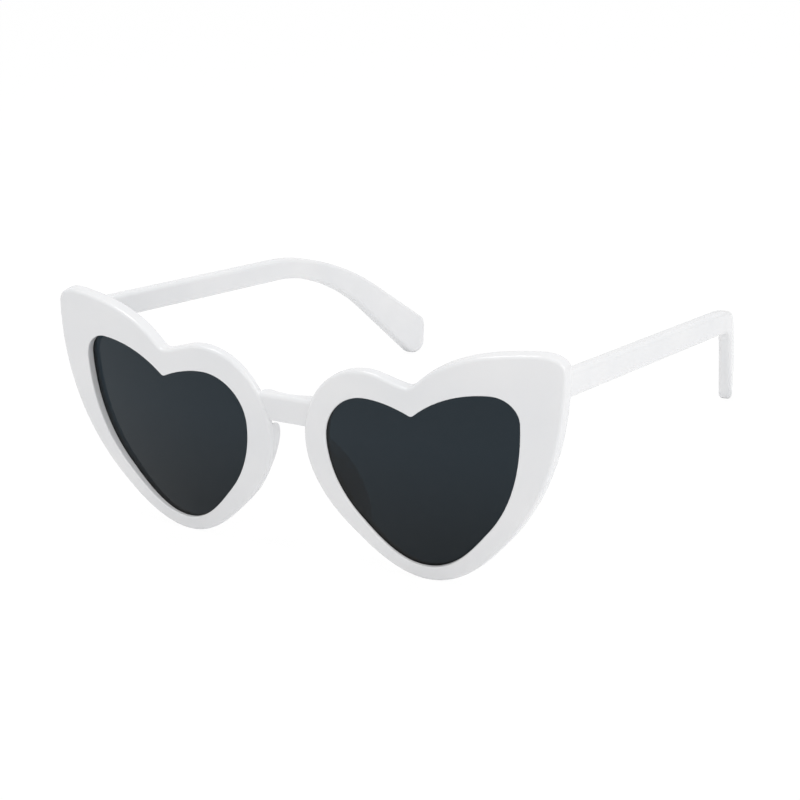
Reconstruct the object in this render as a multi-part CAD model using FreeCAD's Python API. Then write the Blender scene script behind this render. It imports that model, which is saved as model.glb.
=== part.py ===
import FreeCAD, Part
import math
import os
from FreeCAD import Placement, Rotation, Vector

# Heart shaped sunglasses, millimetres. The front is drawn upright in the XZ plane, facing -Y,
# with the lowest point of its rims at Z 0; the finished pair is tilted until it stands on its
# rims and on the tips of its temples.

# Overall width and height of the front
total_width = 148.3
wing_top_height = 61.7

# Opening of one rim. Its outer side, top and tip lie a wall inside the rim
opening_gap = 23.6
wall_outer_side = 10.5
wall_top = 10.1
wall_tip = 4.0
cusp_offset = 1.1
cusp_drop = 7.2
cusp_round = 1.2
cusp_angle_nasal = 65.3
cusp_angle_outer = 131.2
tip_offset = 1.4
nasal_lobe_reach = 12.3
nasal_lobe_drop = 4.2
nasal_side_drop = 16.7
nasal_flank_reach = 7.5
nasal_flank_height = 11.6
nasal_flank_angle = 221.5
outer_lobe_inset = 7.2
outer_side_drop = 6.6
outer_flank_inset = 9.2
outer_flank_height = 12.7
outer_flank_angle = 319.4

# Rim around the opening, with the wing at its upper outer corner
wall_nasal_side = 6.8
wall_nasal_flank = 5.2
wall_outer_flank = 5.0
wall_cusp = 7.0
wall_nasal_lobe = 6.7
nasal_shoulder_drop = 1.9
rim_cusp_angle_nasal = 86.0
rim_cusp_angle_outer = 138.0
rim_nasal_flank_angle = 227.0
rim_outer_flank_angle = 317.5
rim_cusp_round = 3.0
wing_side_drop = 4.2
wing_top_inset = 6.7
front_edge_round = 0.8
rear_edge_round = 1.0
opening_edge_round = 0.3

# Bowed front face, lenses and the lip behind them
front_bow_radius = 186.0
front_bow_reach = 26.8
front_bow_height = 28.0
lens_bow_radius = 239.0
lens_bow_reach = 15.6
lens_bow_height = 25.0
lens_recess = 0.95
lens_thickness = 1.4
lens_seat_depth = 0.8
lens_clearance = 0.05
rear_lip = 0.7

# Bridge bar between the rims
bridge_height = 7.6
bridge_thickness = 2.8
bridge_flare = 2.0
bridge_setback = 1.9
bridge_rise = 3.3
bridge_round = 1.2
bridge_end_round = 2.4

# Nose pads moulded behind the nasal side of each rim
pad_length = 30.0
pad_width = 6.6
pad_depth = 7.0
pad_drop = 10.8
pad_inset = 6.6
pad_lean = 30.5
pad_splay = 20.0
pad_step = 0.3

# Temples. Their bends are measured back from the tip
temple_height = 6.4
temple_thickness = 3.8
temple_inset = 1.35
temple_slope = 12.7
temple_length = 149.3
bend_tail_top = 37.9
bend_tail_bottom = 39.1
bend_radius_top = 75.0
bend_radius_bottom = 50.0
drop_angle_top = 33.5
drop_angle_bottom = 41.2
tip_round_top = 3.5
tip_round_bottom = 3.8
toe_tail = 50.3
toe_angle = 18.9
toe_radius = 60.0
temple_edge_round = 1.2
butt_gap = 0.1

# End blocks behind the wings and the metal hinges on them
hinge_drop = 9.4
hinge_standoff = 2.61
temple_rise = 0.6
block_margin = 0.6
block_height = 7.2
block_length = 6.5
block_cover = 0.8
block_round = 0.8
barrel_radius = 1.5
barrel_height = 1.7
barrel_gap = 0.1
barrel_clearance = 0.15
leaf_thickness = 0.9
leaf_height = 5.0
front_leaf_length = 4.7
temple_leaf_length = 8.6
pin_radius = 0.7
pin_clearance = 0.03
pin_head_radius = 1.2
pin_head_height = 0.6
slot_width = 0.4
slot_depth = 0.35

# Small countersunk screws that hold the hinge leaves
screw_radius = 0.55
screw_head_radius = 1.0
screw_head_depth = 0.5
screw_length = 2.8
screw_clearance = 0.02
front_screw_reach = 3.2
front_screw_pitch = 2.6
temple_screw_reach = 3.7
temple_screw_pitch = 3.0

# Drawing aids: ends of the prisms that are cut to the bows, overrun of a profile and size of a match
before_front = -1.0
behind_front = 40.0
overrun = 1.0
match = 0.01
sharp_angle = 30.0


def outward(x, z, angle, distance):
    """A point moved by a distance along the outward direction at an angle in the XZ plane."""
    turn = math.radians(angle)
    return (x + distance * math.cos(turn), z + distance * math.sin(turn))


def along(angle):
    """The anticlockwise direction of an outline whose outward direction has an angle in the XZ plane."""
    turn = math.radians(angle)
    return Vector(-math.sin(turn), 0, math.cos(turn))


def round_edge(start, end):
    """A curve between two (x, z, outward angle) points, a round arc where their angles allow one."""
    first = Vector(start[0], 0, start[1])
    last = Vector(end[0], 0, end[1])
    turn = math.radians((end[2] - start[2]) % 360)
    handle = first.distanceToPoint(last) / (3 * math.cos(turn / 4) ** 2)
    curve = Part.BezierCurve()
    curve.setPoles([first, first + along(start[2]) * handle, last - along(end[2]) * handle, last])
    return curve.toShape()


opening_inner = opening_gap / 2
opening_outer = total_width / 2 - wall_outer_side
opening_middle = (opening_inner + opening_outer) / 2
opening_top = wing_top_height - wall_top
cusp_x = opening_middle - cusp_offset
cusp_z = opening_top - cusp_drop
opening_points = {
    "cusp_nasal": (cusp_x, cusp_z, cusp_angle_nasal),
    "nasal_lobe": (opening_inner + nasal_lobe_reach, opening_top - nasal_lobe_drop, 90.0),
    "nasal_side": (opening_inner, opening_top - nasal_side_drop, 180.0),
    "nasal_flank": (opening_inner + nasal_flank_reach, wall_tip + nasal_flank_height, nasal_flank_angle),
    "tip": (opening_middle - tip_offset, wall_tip, 270.0),
    "outer_flank": (opening_outer - outer_flank_inset, wall_tip + outer_flank_height, outer_flank_angle),
    "outer_side": (opening_outer, opening_top - outer_side_drop, 0.0),
    "outer_lobe": (opening_outer - outer_lobe_inset, opening_top, 90.0),
    "cusp_outer": (cusp_x, cusp_z, cusp_angle_outer),
}


def heart(points, start_y, end_y, cusp_radius):
    """A prism along Y over a heart outline, with its cusp rounded."""
    outline = list(points.values())
    edges = [round_edge(start, end) for start, end in zip(outline, outline[1:])]
    face = Part.Face(Part.Wire(edges))
    face.translate(Vector(0, start_y, 0))
    body = face.extrude(Vector(0, end_y - start_y, 0))
    x, z = points["cusp_nasal"][:2]
    corner = [e for e in body.Edges if all(abs(v.X - x) + abs(v.Z - z) < match for v in e.Vertexes)]
    return body.makeFillet(cusp_radius, corner)


def grown(points, distance):
    """The same outline with every point moved outward, and its cusp straight up."""
    larger = {}
    for name, (x, z, angle) in points.items():
        direction = 90.0 if "cusp" in name else angle
        larger[name] = outward(x, z, direction, distance) + (angle,)
    return larger


def ball(radius, reach, height, depth):
    """A ball whose front-most point lies at a given reach, height and depth."""
    return Part.makeSphere(radius, Vector(reach, depth + radius, height))


wing_side = (total_width / 2, wing_top_height - wing_side_drop, 0.0)
wing_top = (total_width / 2 - wing_top_inset, wing_top_height, 90.0)
shoulder = (opening_inner - wall_nasal_side, opening_top - nasal_side_drop - nasal_shoulder_drop, 180.0)
rim_points = {
    "cusp_nasal": (cusp_x, cusp_z + wall_cusp, rim_cusp_angle_nasal),
    "nasal_lobe": outward(*opening_points["nasal_lobe"], wall_nasal_lobe) + (90.0,),
    "nasal_side": shoulder,
    "nasal_flank": outward(*opening_points["nasal_flank"], wall_nasal_flank) + (rim_nasal_flank_angle,),
    "tip": outward(*opening_points["tip"], wall_tip) + (270.0,),
    "outer_flank": outward(*opening_points["outer_flank"], wall_outer_flank) + (rim_outer_flank_angle,),
    "outer_side": wing_side,
    "outer_lobe": wing_top,
    "cusp_outer": (cusp_x, cusp_z + wall_cusp, rim_cusp_angle_outer),
}

lens_rear_radius = lens_bow_radius - lens_thickness
rear_depth = lens_recess + lens_thickness + rear_lip
rear_radius = lens_rear_radius - rear_lip


def bow(radius, depth):
    """A ball concentric with the lenses, whose front-most point lies at a depth."""
    return ball(radius, lens_bow_reach, lens_bow_height, depth)


def rear_face(x, z):
    """Depth of the rim's rear face at a place on the front."""
    across = math.hypot(x - lens_bow_reach, z - lens_bow_height)
    return rear_depth + rear_radius - math.sqrt(rear_radius ** 2 - across ** 2)


def edges_of(body, radius, wire_number):
    """Edges of one wire of the spherical face with a given radius, outline first."""
    for face in body.Faces:
        if isinstance(face.Surface, Part.Sphere) and abs(face.Surface.Radius - radius) < match:
            wires = sorted(face.Wires, key=lambda w: -w.BoundBox.DiagonalLength)
            return wires[wire_number].Edges
    return []


def make_rim():
    """Right rim with its opening, before the lens groove is cut."""
    rim = heart(rim_points, before_front, behind_front, rim_cusp_round)
    rim = rim.common(ball(front_bow_radius, front_bow_reach, front_bow_height, 0))
    rim = rim.cut(bow(rear_radius, rear_depth))
    rim = rim.cut(heart(opening_points, before_front, behind_front, cusp_round))
    rim = rim.Solids[0]
    rim = rim.makeFillet(front_edge_round, edges_of(rim, front_bow_radius, 0))
    rim = rim.makeFillet(rear_edge_round, edges_of(rim, rear_radius, 0))
    return rim.makeFillet(opening_edge_round, edges_of(rim, front_bow_radius, 1))


def make_lens(gap):
    """Right lens, larger by a gap all round where it shapes the groove."""
    lens = heart(grown(opening_points, lens_seat_depth + gap), before_front, behind_front, cusp_round)
    lens = lens.common(bow(lens_bow_radius + gap, lens_recess - gap))
    lens = lens.cut(bow(lens_rear_radius - gap, lens_recess + lens_thickness + gap))
    return lens.Solids[0]


def make_bridge():
    """Bar across the nose, let into both rims and deeper towards them."""
    half = opening_inner - wall_nasal_side / 2
    bottom = shoulder[1] + bridge_rise
    left_front = Vector(-half, bridge_setback, bottom)
    right_front = Vector(half, bridge_setback, bottom)
    depth = Vector(0, bridge_thickness, 0)
    left_rear = left_front + depth + Vector(0, bridge_flare, 0)
    right_rear = right_front + depth + Vector(0, bridge_flare, 0)
    middle_rear = Vector(0, bridge_setback, bottom) + depth
    plan = Part.Wire([
        Part.makeLine(left_front, right_front),
        Part.makeLine(right_front, right_rear),
        Part.Arc(right_rear, middle_rear, left_rear).toShape(),
        Part.makeLine(left_rear, left_front),
    ])
    bar = Part.Face(plan).extrude(Vector(0, 0, bridge_height))
    rear_corners = [e for e in bar.Edges if e.BoundBox.XLength < match and e.BoundBox.YMin > middle_rear.y]
    bar = bar.makeFillet(bridge_end_round, rear_corners)
    level = [e for e in bar.Edges if e.BoundBox.ZLength < match]
    return bar.makeFillet(bridge_round, level)


def make_pad():
    """Nose pad: the rear half of a splayed egg, kept a step inside the side of the right rim."""
    size = FreeCAD.Matrix()
    size.scale(pad_width / 2, pad_depth + rear_lip, pad_length / 2)
    egg = Part.makeSphere(1).transformGeometry(size)
    egg.rotate(Vector(0, 0, 0), Vector(0, 0, 1), -pad_splay)
    egg.rotate(Vector(0, 0, 0), Vector(0, 1, 0), -pad_lean)
    half = Part.makeBox(pad_length, pad_length, pad_length, Vector(-pad_length / 2, 0, -pad_length / 2))
    egg = egg.common(half)
    egg.translate(Vector(shoulder[0] + pad_inset, rear_depth - rear_lip, shoulder[1] - pad_drop))
    return egg.common(heart(grown(rim_points, -pad_step), before_front, behind_front, rim_cusp_round))


# The hinge is drawn about its own upright axis, the temple straight back from it along Y and then sloped
temple_outer = total_width / 2 - temple_inset
temple_inner = temple_outer - temple_thickness
hinge_x = temple_inner - barrel_clearance - barrel_radius
seat_depth = barrel_radius + barrel_clearance
barrel_step = barrel_height + barrel_gap
stack_height = 3 * barrel_height + 2 * barrel_gap
hinge_height = wing_top_height - hinge_drop
hinge_setback = rear_face(hinge_x, hinge_height) + hinge_standoff
hinge_place = Placement(Vector(0, hinge_setback, hinge_height), Rotation())
temple_lean = Placement(Vector(0, 0, 0), Rotation(Vector(1, 0, 0), -temple_slope))


def rounded_face(corners):
    """A flat face over (point, radius) corners, with straight sides and tangent arcs."""
    count = len(corners)
    ends = []
    for i, (here, radius) in enumerate(corners):
        back = (corners[i - 1][0] - here).normalize()
        ahead = (corners[(i + 1) % count][0] - here).normalize()
        half = back.getAngle(ahead) / 2
        reach = radius / math.tan(half)
        middle = here + (back + ahead).normalize() * (radius / math.sin(half) - radius)
        ends.append((here + back * reach, middle, here + ahead * reach, radius))
    edges = []
    for i, (start, middle, end, radius) in enumerate(ends):
        if radius > 0:
            edges.append(Part.Arc(start, middle, end).toShape())
        edges.append(Part.LineSegment(end, ends[(i + 1) % count][0]).toShape())
    return Part.Face(Part.Wire(edges))


def sharp_edges(body, skip_y):
    """Edges where two faces meet at a clear angle, but not those of the end face at skip_y."""
    found = []
    for edge in body.Edges:
        middle = edge.valueAt((edge.FirstParameter + edge.LastParameter) / 2)
        if edge.BoundBox.YMax < skip_y + match:
            continue
        sides = body.ancestorsOfType(edge, Part.Face)
        normals = [f.normalAt(*f.Surface.parameter(middle)) for f in sides]
        if math.degrees(normals[0].getAngle(normals[-1])) > sharp_angle:
            found.append(edge)
    return found


def sloped(body):
    """A piece drawn along the temple, set at the temple's slope."""
    body.Placement = temple_lean.multiply(body.Placement)
    return body


def ahead_of(depth):
    """Everything in front of a plane across the temple."""
    corner = Vector(0, depth - total_width, -total_width / 2)
    return Part.makeBox(total_width, total_width, total_width, corner)


def make_temple():
    """Right temple: side profile and plan profile cut from one another, with rounded edges."""
    top = temple_rise + temple_height / 2
    bottom = temple_rise - temple_height / 2
    start = -temple_height
    top_end = top - bend_tail_top * math.tan(math.radians(drop_angle_top))
    bottom_end = bottom - bend_tail_bottom * math.tan(math.radians(drop_angle_bottom))
    side = rounded_face([
        (Vector(0, start, bottom), 0),
        (Vector(0, start, top), 0),
        (Vector(0, temple_length - bend_tail_top, top), bend_radius_top),
        (Vector(0, temple_length, top_end), tip_round_top),
        (Vector(0, temple_length, bottom_end), tip_round_bottom),
        (Vector(0, temple_length - bend_tail_bottom, bottom), bend_radius_bottom),
    ]).extrude(Vector(total_width / 2, 0, 0))
    past_tip = temple_length + overrun
    toe_start = temple_length - toe_tail
    toe = (toe_tail + overrun) * math.tan(math.radians(toe_angle))
    skew = temple_thickness * math.tan(math.radians(toe_angle / 2))
    plan = rounded_face([
        (Vector(temple_inner, start, bottom_end), 0),
        (Vector(temple_outer, start, bottom_end), 0),
        (Vector(temple_outer, toe_start, bottom_end), toe_radius + temple_thickness),
        (Vector(temple_outer - toe, past_tip, bottom_end), 0),
        (Vector(temple_inner - toe, past_tip - skew, bottom_end), 0),
        (Vector(temple_inner, toe_start - skew, bottom_end), toe_radius),
    ]).extrude(Vector(0, 0, top - bottom_end + overrun))
    temple = side.common(plan).Solids[0]
    temple = sloped(temple.makeFillet(temple_edge_round, sharp_edges(temple, start)))
    temple = temple.cut(ahead_of(butt_gap))
    for place, direction in temple_screws:
        temple = temple.cut(screw_body(place, direction, screw_clearance))
    return temple.Solids[0]


def barrel(order):
    """One hinge barrel, counted from the bottom."""
    base = Vector(hinge_x, 0, order * barrel_step - stack_height / 2)
    return Part.makeCylinder(barrel_radius, barrel_height, base)


def pin_hole():
    """Bore for the hinge screw through every barrel."""
    base = Vector(hinge_x, 0, -stack_height)
    return Part.makeCylinder(pin_radius + pin_clearance, 2 * stack_height, base)


def screw_body(place, direction, gap):
    """Countersunk screw with its head flush at a place, or its hole where gap is more than 0."""
    head = Part.makeCone(screw_head_radius + gap, screw_radius + gap, screw_head_depth, place, direction)
    shank = Part.makeCylinder(screw_radius + gap, screw_length + gap, place, direction)
    return head.fuse(shank).removeSplitter()


def slot_in(body, place, direction, radius, depth):
    """The body with a driver slot across its head."""
    tool = Part.makeBox(3 * radius, slot_width, 2 * depth, Vector(-1.5 * radius, -slot_width / 2, -depth))
    tool.Placement = Placement(place, Rotation(Vector(0, 0, 1), direction))
    return body.cut(tool)


seat_face = leaf_thickness - seat_depth
front_screw_x = hinge_x - front_screw_reach
front_screw_z = [front_screw_pitch / 2, -front_screw_pitch / 2]
front_screws = [(Vector(front_screw_x, seat_face, z), Vector(0, -1, 0)) for z in front_screw_z]
leaf_face = temple_inner - leaf_thickness
temple_screw_y = [temple_screw_reach, temple_screw_reach + temple_screw_pitch]
temple_screws = [(temple_lean.multVec(Vector(leaf_face, y, 0)), Vector(1, 0, 0)) for y in temple_screw_y]


def make_front_leaf():
    """Hinge leaf behind the wing with the two outer barrels."""
    corner = Vector(hinge_x - front_leaf_length, -seat_depth, -leaf_height / 2)
    leaf = Part.makeBox(front_leaf_length, leaf_thickness, leaf_height, corner)
    room = Vector(hinge_x, 0, -barrel_height / 2 - barrel_gap)
    leaf = leaf.cut(Part.makeCylinder(seat_depth, barrel_height + 2 * barrel_gap, room))
    leaf = leaf.fuse([barrel(0), barrel(2)]).cut(pin_hole())
    for place, direction in front_screws:
        leaf = leaf.cut(screw_body(place, direction, screw_clearance))
    return leaf.removeSplitter().Solids[0]


def make_temple_leaf():
    """Hinge leaf on the inner face of the temple with the middle barrel."""
    start = seat_depth + barrel_clearance
    corner = Vector(leaf_face, 0, -leaf_height / 2)
    leaf = sloped(Part.makeBox(leaf_thickness, temple_leaf_length, leaf_height, corner))
    leaf = leaf.cut(ahead_of(start))
    web = Part.makeBox(leaf_thickness, start, barrel_height, Vector(leaf_face, 0, -barrel_height / 2))
    leaf = leaf.fuse([web, barrel(1)]).cut(pin_hole())
    for place, direction in temple_screws:
        leaf = leaf.cut(screw_body(place, direction, screw_clearance))
    return leaf.removeSplitter().Solids[0]


def make_hinge_screw():
    """Slotted screw that is the hinge's pin."""
    shank = Part.makeCylinder(pin_radius, stack_height, Vector(hinge_x, 0, -stack_height / 2))
    top = Vector(hinge_x, 0, stack_height / 2)
    head = Part.makeCylinder(pin_head_radius, pin_head_height, top)
    screw = shank.fuse(head).removeSplitter()
    return slot_in(screw, top + Vector(0, 0, pin_head_height), Vector(0, 0, 1), pin_head_radius, slot_depth)


def make_leaf_screw(place, direction):
    """Small countersunk screw with its slot."""
    return slot_in(screw_body(place, direction, 0), place, direction, screw_head_radius, slot_depth)


def lengthwise(body):
    """Edges of a block that run along Y."""
    return [e for e in body.Edges if e.BoundBox.XLength < match and e.BoundBox.ZLength < match]


def make_end_block():
    """Block behind the right wing: a seat for the front leaf and a stop for the temple."""
    inner = hinge_x - front_leaf_length - block_margin
    size = (temple_outer - inner, block_length - seat_depth, block_height)
    seat = Part.makeBox(*size, Vector(inner, -block_length, -block_height / 2))
    upright = math.cos(math.radians(temple_slope))
    stop_corner = Vector(temple_inner, -block_length, (temple_rise - temple_height / 2) / upright)
    stop = Part.makeBox(temple_thickness, block_length, temple_height / upright, stop_corner)
    seat = seat.makeFillet(block_round, lengthwise(seat))
    outer = [e for e in lengthwise(stop) if e.BoundBox.XMin > temple_inner + match]
    stop = stop.makeFillet(temple_edge_round, outer)
    return seat.fuse(stop)


def on_hinge(body):
    """A piece drawn about the hinge axis, set where the hinge is."""
    body.Placement = hinge_place.multiply(body.Placement)
    return body


def mirrored(body):
    """The left hand copy of a right hand piece."""
    return body.mirror(Vector(0, 0, 0), Vector(1, 0, 0))


def make_front():
    """Both rims, the bridge, the nose pads and the end blocks as one moulding."""
    block = on_hinge(make_end_block())
    block = block.common(ball(front_bow_radius, front_bow_reach, front_bow_height, block_cover))
    half = make_rim().fuse([make_pad(), block]).cut(make_lens(lens_clearance))
    for place, direction in front_screws:
        half = half.cut(on_hinge(screw_body(place, direction, screw_clearance)))
    front = half.fuse([mirrored(half), make_bridge()])
    return front.removeSplitter().Solids[0]


pieces = {"frame_front": make_front()}
right = {
    "lens": make_lens(0),
    "temple": on_hinge(make_temple()),
    "front_hinge_leaf": on_hinge(make_front_leaf()),
    "temple_hinge_leaf": on_hinge(make_temple_leaf()),
    "hinge_screw": on_hinge(make_hinge_screw()),
}
for number, (place, direction) in enumerate(front_screws, 1):
    right["front_leaf_screw_%d" % number] = on_hinge(make_leaf_screw(place, direction))
for number, (place, direction) in enumerate(temple_screws, 1):
    right["temple_leaf_screw_%d" % number] = on_hinge(make_leaf_screw(place, direction))
for name, body in right.items():
    pieces[name + "_right"] = body
    pieces[name + "_left"] = mirrored(body)


def turned(body, angle):
    """A copy turned about the X axis."""
    copy = body.copy()
    copy.rotate(Vector(0, 0, 0), Vector(1, 0, 0), angle)
    return copy


# Resting tilt, at which the rims and the temple tips are equally low
tilt = 0.0
for attempt in range(6):
    front_box = turned(pieces["frame_front"], tilt).optimalBoundingBox()
    temple_box = turned(pieces["temple_right"], tilt).optimalBoundingBox()
    tilt += math.degrees(math.atan2(front_box.ZMin - temple_box.ZMin, temple_box.YMax))
middle = (front_box.YMin + temple_box.YMax) / 2
stand = Placement(Vector(0, -middle, -front_box.ZMin), Rotation(Vector(1, 0, 0), tilt))

os.makedirs("parts", exist_ok=True)
for name, body in pieces.items():
    body.Placement = stand.multiply(body.Placement)
    body.exportStep("parts/%s.step" % name)
    print(name, body.isValid(), len(body.Solids), round(body.Volume, 2))
hinge_point = stand.multVec(Vector(hinge_x, hinge_setback, hinge_height))
hinge_axis = stand.Rotation.multVec(Vector(0, 0, 1))
print("tilt", tilt, "middle", middle, "low", front_box.ZMin)
print("right hinge at", hinge_point, "axis", hinge_axis)
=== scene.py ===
import bmesh
import bpy
from mathutils import Matrix, Vector

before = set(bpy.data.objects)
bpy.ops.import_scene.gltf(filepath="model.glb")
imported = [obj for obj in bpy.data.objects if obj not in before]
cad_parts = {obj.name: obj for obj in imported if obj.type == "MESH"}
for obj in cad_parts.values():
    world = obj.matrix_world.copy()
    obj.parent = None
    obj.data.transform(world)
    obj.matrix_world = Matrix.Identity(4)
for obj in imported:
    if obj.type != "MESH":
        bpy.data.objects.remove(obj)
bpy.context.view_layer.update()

# Front
# Both rims, the wings, the bridge bar and the nose pads are one injection moulding in opaque
# white polycarbonate. The mould is polished, so its faces shine and ripple very slightly.
MM = 0.001


def linear(code):
    """A linear colour from an sRGB hex code such as E9EAEC."""
    shares = [int(code[i:i + 2], 16) / 255 for i in (0, 2, 4)]
    return [s / 12.92 if s <= 0.04045 else ((s + 0.055) / 1.055) ** 2.4 for s in shares] + [1.0]


def add_node(tree, kind, values, links):
    """A shader node with its settings, its socket values and the outputs that feed it."""
    node = tree.nodes.new(kind)
    for name, value in values.items():
        if name in node.inputs:
            node.inputs[name].default_value = value
        else:
            setattr(node, name, value)
    for name, source in links.items():
        tree.links.new(source, node.inputs[name])
    return node


def start_material(name, values):
    """An empty material with a Principled shader, its output and the piece's own coordinates."""
    material = bpy.data.materials.new(name)
    material.use_nodes = True
    tree = material.node_tree
    tree.nodes.clear()
    shader = add_node(tree, "ShaderNodeBsdfPrincipled", values, {})
    add_node(tree, "ShaderNodeOutputMaterial", {}, {"Surface": shader.outputs["BSDF"]})
    place = add_node(tree, "ShaderNodeTexCoord", {}, {})
    return material, tree, shader, place.outputs["Object"]


def per_mm(size):
    """The scale of a noise whose features are about this many millimetres wide."""
    return 1 / (size * MM)


def shade(node_name, material):
    """Gives a carried-over piece its finish."""
    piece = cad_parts[node_name]
    piece.data.materials.clear()
    piece.data.materials.append(material)


# Moulded polycarbonate: bright, opaque and glossy, with light that sinks in a little at thin edges.
# Its white drifts slightly over 26 mm, as the melt flowed. The ripple is some 20 micrometres high over
# 9 mm, and the mould's polishing marks are 0.7 mm wide.
polycarbonate, tree, shader, place = start_material("moulded_white_polycarbonate", {
    "IOR": 1.585,
    "Subsurface Weight": 0.12,
    "Subsurface Radius": (1.0, 0.95, 0.9),
    "Subsurface Scale": 1.2 * MM,
})
cloud = add_node(tree, "ShaderNodeTexNoise", {"Scale": per_mm(26), "Detail": 2.0}, {"Vector": place})
tint = add_node(tree, "ShaderNodeValToRGB", {}, {"Fac": cloud.outputs["Fac"]})
tint.color_ramp.elements[0].position = 0.3
tint.color_ramp.elements[0].color = linear("E6E7E9")
tint.color_ramp.elements[1].position = 0.7
tint.color_ramp.elements[1].color = linear("ECECED")
polish = add_node(tree, "ShaderNodeTexNoise", {"Scale": per_mm(0.7), "Detail": 3.0}, {"Vector": place})
gloss = add_node(tree, "ShaderNodeMapRange", {"To Min": 0.16, "To Max": 0.26},
                 {"Value": polish.outputs["Fac"]})
ripple = add_node(tree, "ShaderNodeTexNoise", {"Scale": per_mm(9), "Detail": 1.0}, {"Vector": place})
relief = add_node(tree, "ShaderNodeBump", {"Strength": 0.5, "Distance": 0.02 * MM},
                  {"Height": ripple.outputs["Fac"]})
tree.links.new(tint.outputs["Color"], shader.inputs["Base Color"])
tree.links.new(gloss.outputs["Result"], shader.inputs["Roughness"])
tree.links.new(relief.outputs["Normal"], shader.inputs["Normal"])
shade("frame_front", polycarbonate)

# Lenses
# Each lens is a bowed heart of clear polycarbonate dyed smoke grey, and its colour is a little darker
# towards its tip.
# It is polished on both faces and snapped into the groove of its rim from the front.

# Dyed polycarbonate: dark, clear and smooth, with a trace of haze in patches 3 mm wide. Its mirror
# images are weak, so its IOR lies below the 1.585 of the bare plastic.
smoke, tree, shader, place = start_material("smoke_grey_dyed_polycarbonate", {
    "Transmission Weight": 1.0,
    "IOR": 1.34,
})
# The lens colour is darker towards the bottom of the lens, from 36 mm high down to 10 mm.
height = add_node(tree, "ShaderNodeSeparateXYZ", {}, {"Vector": place})
fade = add_node(tree, "ShaderNodeMapRange", {"From Min": 10 * MM, "From Max": 36 * MM},
                {"Value": height.outputs["Z"]})
smoke_by_height = add_node(tree, "ShaderNodeValToRGB", {}, {"Fac": fade.outputs["Result"]})
smoke_by_height.color_ramp.elements[0].color = linear("071218")
smoke_by_height.color_ramp.elements[1].color = linear("15222A")
tree.links.new(smoke_by_height.outputs["Color"], shader.inputs["Base Color"])
haze = add_node(tree, "ShaderNodeTexNoise", {"Scale": per_mm(3), "Detail": 2.0}, {"Vector": place})
gloss = add_node(tree, "ShaderNodeMapRange", {"To Min": 0.02, "To Max": 0.06},
                 {"Value": haze.outputs["Fac"]})
tree.links.new(gloss.outputs["Result"], shader.inputs["Roughness"])
for side in ("right", "left"):
    shade("lens_" + side, smoke)

# Hinges
# The leaves and barrels are stamped and rolled from nickel silver strip and nickel plated. Two
# small countersunk screws hold each leaf in the plastic.

# Nickel plate over rolled strip: warm, bright and a little streaked by the rolls. The streaks are
# drawn 1.2 mm long and an eighth of that wide, coarser than real ones, so that they show.
mark_length = 1.2
mark_ratio = 8.0
nickel, tree, shader, place = start_material("nickel_plated_nickel_silver", {
    "Base Color": linear("C9C6BF"),
    "Metallic": 1.0,
})
drawn = add_node(tree, "ShaderNodeMapping", {"Scale": (1.0, mark_ratio, 1.0)}, {"Vector": place})
strip = add_node(tree, "ShaderNodeTexNoise", {"Scale": per_mm(mark_length), "Detail": 4.0},
                 {"Vector": drawn.outputs["Vector"]})
gloss = add_node(tree, "ShaderNodeMapRange", {"To Min": 0.2, "To Max": 0.38},
                 {"Value": strip.outputs["Fac"]})
relief = add_node(tree, "ShaderNodeBump", {"Strength": 0.3, "Distance": 0.01 * MM},
                  {"Height": strip.outputs["Fac"]})
tree.links.new(gloss.outputs["Result"], shader.inputs["Roughness"])
tree.links.new(relief.outputs["Normal"], shader.inputs["Normal"])
for side in ("right", "left"):
    shade("front_hinge_leaf_" + side, nickel)
    shade("temple_hinge_leaf_" + side, nickel)

# Screws
# The hinge screws and the leaf screws are turned from stainless steel rod, and a slot is sawn across
# each head.

# Turned stainless steel: grey, bright and dulled in places by the tool. Its marks are drawn 0.25 mm
# wide, coarser than real ones, so that they show.
steel, tree, shader, place = start_material("turned_stainless_steel", {
    "Base Color": linear("BDBEC0"),
    "Metallic": 1.0,
})
turning = add_node(tree, "ShaderNodeTexNoise", {"Scale": per_mm(0.25), "Detail": 2.0}, {"Vector": place})
gloss = add_node(tree, "ShaderNodeMapRange", {"To Min": 0.22, "To Max": 0.4},
                 {"Value": turning.outputs["Fac"]})
tree.links.new(gloss.outputs["Result"], shader.inputs["Roughness"])
for side in ("right", "left"):
    shade("hinge_screw_" + side, steel)
    for number in ("1", "2"):
        shade("front_leaf_screw_" + number + "_" + side, steel)
        shade("temple_leaf_screw_" + number + "_" + side, steel)

# Temples
# Each temple is one moulding in the same polycarbonate as the front, bent down and in behind the
# ear, and it turns on its hinge screw.
for side in ("right", "left"):
    shade("temple_" + side, polycarbonate)

# Table
# The sunglasses stand open on a plain white sheet, which fades into white all round. Looked at, also
# through a lens, the sheet glows white, and only a small matte share of it takes a soft shadow.
sheet_half = 3.0
shadow_share = 0.07
outline = bmesh.new()
bmesh.ops.create_grid(outline, x_segments=1, y_segments=1, size=sheet_half)
sheet_mesh = bpy.data.meshes.new("white_sheet")
outline.to_mesh(sheet_mesh)
outline.free()
sheet = bpy.data.objects.new("white_sheet", sheet_mesh)
bpy.context.scene.collection.objects.link(sheet)
paper = bpy.data.materials.new("white_paper")
paper.use_nodes = True
tree = paper.node_tree
tree.nodes.clear()
ray = add_node(tree, "ShaderNodeLightPath", {}, {})
seen = add_node(tree, "ShaderNodeMath", {"operation": "MAXIMUM"}, {})
tree.links.new(ray.outputs["Is Camera Ray"], seen.inputs[0])
tree.links.new(ray.outputs["Is Transmission Ray"], seen.inputs[1])
share = add_node(tree, "ShaderNodeMath", {"operation": "MULTIPLY"}, {})
tree.links.new(seen.outputs["Value"], share.inputs[0])
share.inputs[1].default_value = 1 - shadow_share
matte = add_node(tree, "ShaderNodeBsdfDiffuse", {"Color": linear("FAFAFA")}, {})
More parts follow.
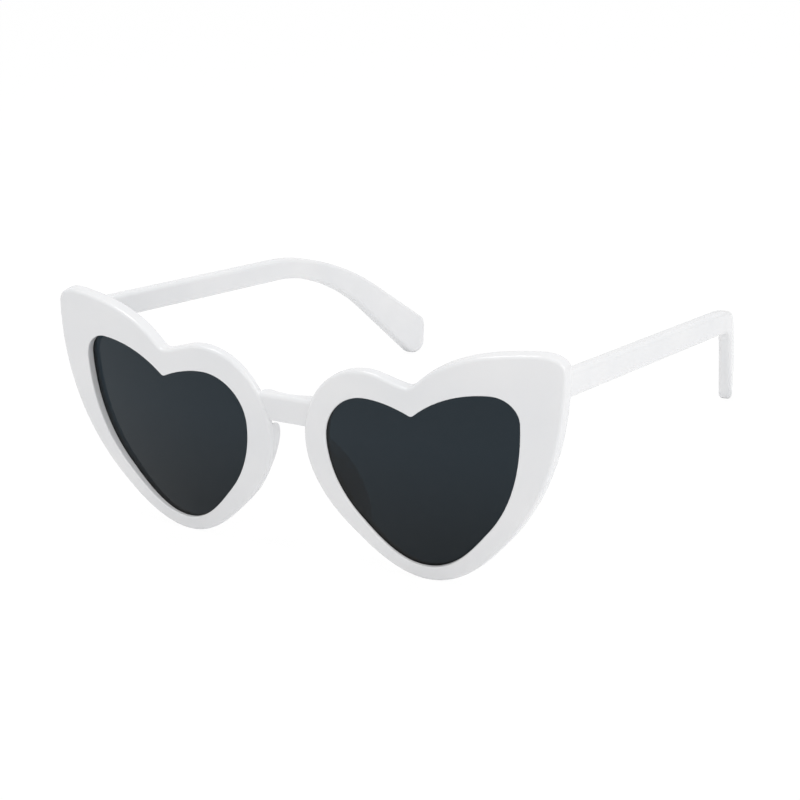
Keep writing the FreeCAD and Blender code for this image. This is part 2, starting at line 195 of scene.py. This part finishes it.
glow = add_node(tree, "ShaderNodeEmission", {"Color": linear("FFFFFF"), "Strength": 1.02}, {})
mixed = add_node(tree, "ShaderNodeMixShader", {}, {"Fac": share.outputs["Value"]})
tree.links.new(matte.outputs["BSDF"], mixed.inputs[1])
tree.links.new(glow.outputs["Emission"], mixed.inputs[2])
add_node(tree, "ShaderNodeOutputMaterial", {}, {"Surface": mixed.outputs["Shader"]})
sheet_mesh.materials.append(paper)

# Light
# A soft box hangs over the sunglasses at the left, a wider one stands to their right and a third one
# fills the front and the inner sides of the rims. The white room lights the shadows, a little less
# brightly than it looks.
room = bpy.data.worlds.new("white_room")
bpy.context.scene.world = room
room.use_nodes = True
tree = room.node_tree
tree.nodes.clear()
ray = add_node(tree, "ShaderNodeLightPath", {}, {})
sharp = add_node(tree, "ShaderNodeMath", {"operation": "MAXIMUM"}, {})
tree.links.new(ray.outputs["Is Camera Ray"], sharp.inputs[0])
tree.links.new(ray.outputs["Is Glossy Ray"], sharp.inputs[1])
clear = add_node(tree, "ShaderNodeMath", {"operation": "MAXIMUM"}, {})
tree.links.new(sharp.outputs["Value"], clear.inputs[0])
tree.links.new(ray.outputs["Is Transmission Ray"], clear.inputs[1])
level = add_node(tree, "ShaderNodeMapRange", {"To Min": 0.66, "To Max": 1.0},
                 {"Value": clear.outputs["Value"]})
wall = add_node(tree, "ShaderNodeBackground", {"Color": linear("FFFFFF")},
                {"Strength": level.outputs["Result"]})
add_node(tree, "ShaderNodeOutputWorld", {}, {"Surface": wall.outputs["Background"]})


def soft_box(name, place, aim, width, watts):
    """A square area lamp at a place, turned to a point."""
    lamp = bpy.data.lights.new(name, "AREA")
    lamp.shape = "SQUARE"
    lamp.size = width
    lamp.energy = watts
    box = bpy.data.objects.new(name, lamp)
    box.location = place
    box.rotation_euler = (Vector(aim) - Vector(place)).to_track_quat("-Z", "Y").to_euler()
    bpy.context.scene.collection.objects.link(box)


soft_box("overhead_box", place=(-0.22, -0.15, 0.78), aim=(0.0, -0.02, 0.03), width=0.32, watts=1.7)
soft_box("right_box", place=(0.85, -0.1, 0.47), aim=(0.0, -0.02, 0.04), width=0.6, watts=2.6)
soft_box("front_box", place=(-0.2, -1.0, 0.06), aim=(0.0, -0.05, 0.03), width=0.8, watts=0.8)

# Camera
# It stands at the right of the front and a little above it, at the distance of a product picture.
sight = bpy.data.cameras.new("product_camera")
sight.sensor_width = 36.0
sight.lens = 85.5
sight.clip_start = 0.01
camera = bpy.data.objects.new("product_camera", sight)
standpoint = Vector((0.255283, -0.431616, 0.203235))
to_right = Vector((0.85645, 0.51381, -0.04979))
to_top = Vector((-0.13931, 0.32291, 0.93612))
to_back = Vector((0.49707, -0.79481, 0.34814))
turn = Matrix((to_right, to_top, to_back)).transposed()
camera.matrix_world = Matrix.Translation(standpoint) @ turn.to_4x4()
bpy.context.scene.collection.objects.link(camera)
bpy.context.scene.camera = camera
bpy.context.scene.view_settings.view_transform = "Standard"
